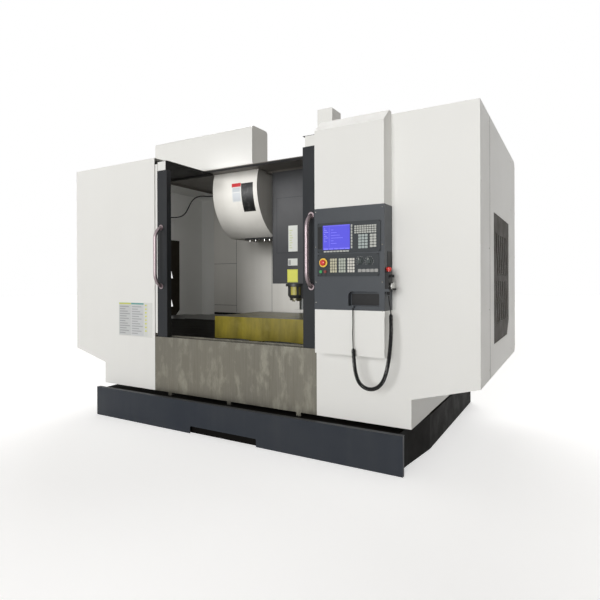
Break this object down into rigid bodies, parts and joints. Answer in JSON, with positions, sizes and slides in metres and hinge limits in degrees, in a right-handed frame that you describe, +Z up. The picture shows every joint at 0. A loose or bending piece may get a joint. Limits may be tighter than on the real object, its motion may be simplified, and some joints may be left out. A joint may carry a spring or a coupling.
{
  "type": "cnc machining center",
  "caption": "Large vertical machining centre with sheet enclosure, open sliding doors, T-slot table, headstock, tool magazine, control tower and coolant tank.",
  "frame": {"origin": "floor level under the middle of the machine's outline", "axes": "+Z up, +X to the operator's right along the table's long travel, +Y from the operator towards the machine's rear"},
  "size_m": [4.17, 3.1044, 3.43],
  "materials": {
    "white_paint": "satin powder coat",
    "grey_paint": "satin powder coat",
    "dark_paint": "semi-gloss paint",
    "cast_paint": "casting paint",
    "ground_iron": "ground and scraped",
    "stainless": "brushed",
    "cover_steel": "ground sheet",
    "chrome_tube": "polished",
    "pane": "laminated pane",
    "black_plastic": "fine texture",
    "grey_plastic": "fine texture",
    "key_plastic": "membrane keys",
    "red_plastic": "gloss",
    "green_plastic": "gloss",
    "screen_glass": "lit screen",
    "cord_jacket": "matt jacket",
    "spindle_steel": "ground",
    "motor_paint": "black paint"
  },
  "bodies": {
    "machine": {"leveling_feet": "ground_iron", "machine_bed": "cast_paint", "column": "cast_paint", "y_cover_front_plate": "cover_steel", "z_motor": "white_paint", "coolant_tank": "dark_paint", "tank_fascia": "dark_paint", "front_left_panel": "white_paint", "front_right_panel": "white_paint", "front_apron": "stainless", "right_side_cover": "white_paint", "left_side_cover": "white_paint", "right_window_guard": "dark_paint", "left_window_guard": "dark_paint", "roof_panel": "white_paint", "roof_hood": "white_paint", "rear_wall": "white_paint", "control_tower": "white_paint", "control_housing": "grey_paint", "screen_bezel": "black_plastic", "display_screen": "screen_glass", "operator_plate": "grey_plastic", "panel_keys": "key_plastic", "pendant_body": "black_plastic", "pendant_lead": "cord_jacket", "pendant_coil": "cord_jacket", "magazine_cover": "white_paint", "change_arm": "spindle_steel", "magazine_hose": "cord_jacket", "electrical_cabinet": "white_paint"},
    "saddle": {"saddle": "cast_paint", "x_cover_fixed_plates": "cover_steel", "y_cover_saddle_plate": "cover_steel"},
    "table": {"table": "ground_iron", "x_cover_table_plates": "cover_steel"},
    "x_cover_middle": {"x_cover_middle_plates": "cover_steel"},
    "x_cover_inner": {"x_cover_inner_plates": "cover_steel"},
    "y_cover_middle": {"y_cover_middle_plate": "cover_steel"},
    "head": {"head_casting": "cast_paint", "head_cover": "grey_paint", "spindle_motor": "motor_paint", "spindle_housing": "motor_paint"},
    "spindle": {"spindle_shaft": "spindle_steel"},
    "left_door": {"left_door": "grey_paint", "left_door_post": "grey_paint", "left_door_handle": "chrome_tube", "left_door_glass": "pane"},
    "right_door": {"right_door": "grey_paint", "right_door_post": "grey_paint", "right_door_handle": "chrome_tube", "right_door_glass": "pane"},
    "estop": {"estop_button": "red_plastic"},
    "start": {"start_button": "green_plastic"},
    "hold": {"hold_button": "red_plastic"},
    "feed_dial": {"feed_knob": "black_plastic"},
    "speed_dial": {"speed_knob": "black_plastic"},
    "hand_wheel": {"pendant_wheel": "black_plastic"},
    "axis_dial": {"axis_knob": "black_plastic"},
    "cabinet_door": {"cabinet_door": "white_paint"},
    "magazine": {"tool_disc": "cast_paint"}
  },
  "joints": [
    {"name": "y_slide", "type": "slide", "parent": "machine", "child": "saddle", "axis": [0, 1, 0], "range_m": [-0.35, 0.22]},
    {"name": "x_slide", "type": "slide", "parent": "saddle", "child": "table", "axis": [1, 0, 0], "range_m": [-0.7, 0.5]},
    {"name": "x_cover_middle_slide", "type": "slide", "parent": "saddle", "child": "x_cover_middle", "axis": [1, 0, 0], "range_m": [-0.47, 0.34]},
    {"name": "x_cover_inner_slide", "type": "slide", "parent": "saddle", "child": "x_cover_inner", "axis": [1, 0, 0], "range_m": [-0.24, 0.17]},
    {"name": "y_cover_middle_slide", "type": "slide", "parent": "machine", "child": "y_cover_middle", "axis": [0, 1, 0], "range_m": [-0.18, 0.12]},
    {"name": "z_slide", "type": "slide", "parent": "machine", "child": "head", "axis": [0, 0, 1], "range_m": [-0.1, 0.55]},
    {"name": "spindle_spin", "type": "hinge", "parent": "head", "child": "spindle", "pos_m": [0, -0.2, 1.3], "axis": [0, 0, 1], "continuous": true},
    {"name": "left_door_slide", "type": "slide", "parent": "machine", "child": "left_door", "axis": [1, 0, 0], "range_m": [0, 0.742]},
    {"name": "right_door_slide", "type": "slide", "parent": "machine", "child": "right_door", "axis": [-1, 0, 0], "range_m": [0, 0.742]},
    {"name": "estop_press", "type": "slide", "parent": "machine", "child": "estop", "axis": [0, 1, 0], "range_m": [0, 0.005], "stiffness_N_per_m": 800},
    {"name": "start_press", "type": "slide", "parent": "machine", "child": "start", "axis": [0, 1, 0], "range_m": [0, 0.002], "stiffness_N_per_m": 400},
    {"name": "hold_press", "type": "slide", "parent": "machine", "child": "hold", "axis": [0, 1, 0], "range_m": [0, 0.002], "stiffness_N_per_m": 400},
    {"name": "feed_dial_turn", "type": "hinge", "parent": "machine", "child": "feed_dial", "pos_m": [1.306, -1.524, 1.489], "axis": [0, 1, 0], "range_deg": [-135, 135]},
    {"name": "speed_dial_turn", "type": "hinge", "parent": "machine", "child": "speed_dial", "pos_m": [1.375, -1.524, 1.487], "axis": [0, 1, 0], "range_deg": [-135, 135]},
    {"name": "hand_wheel_turn", "type": "hinge", "parent": "machine", "child": "hand_wheel", "pos_m": [1.52, -1.482, 1.311], "axis": [1, 0, 0], "continuous": true},
    {"name": "axis_dial_turn", "type": "hinge", "parent": "machine", "child": "axis_dial", "pos_m": [1.52, -1.49, 1.38], "axis": [1, 0, 0], "range_deg": [-60, 60]},
    {"name": "cabinet_door_swing", "type": "hinge", "parent": "machine", "child": "cabinet_door", "pos_m": [0.858, 1.5335, 1.2], "axis": [0, 0, -1], "range_deg": [0, 110]},
    {"name": "magazine_turn", "type": "hinge", "parent": "machine", "child": "magazine", "pos_m": [-0.78, 0.04, 2.2], "axis": [1, 0, 0], "continuous": true}
  ],
  "couplings": [
    {"joint": "x_cover_middle_slide", "follows": "x_slide", "ratio": 0.66667},
    {"joint": "x_cover_inner_slide", "follows": "x_slide", "ratio": 0.33333},
    {"joint": "y_cover_middle_slide", "follows": "y_slide", "ratio": 0.5}
  ]
}
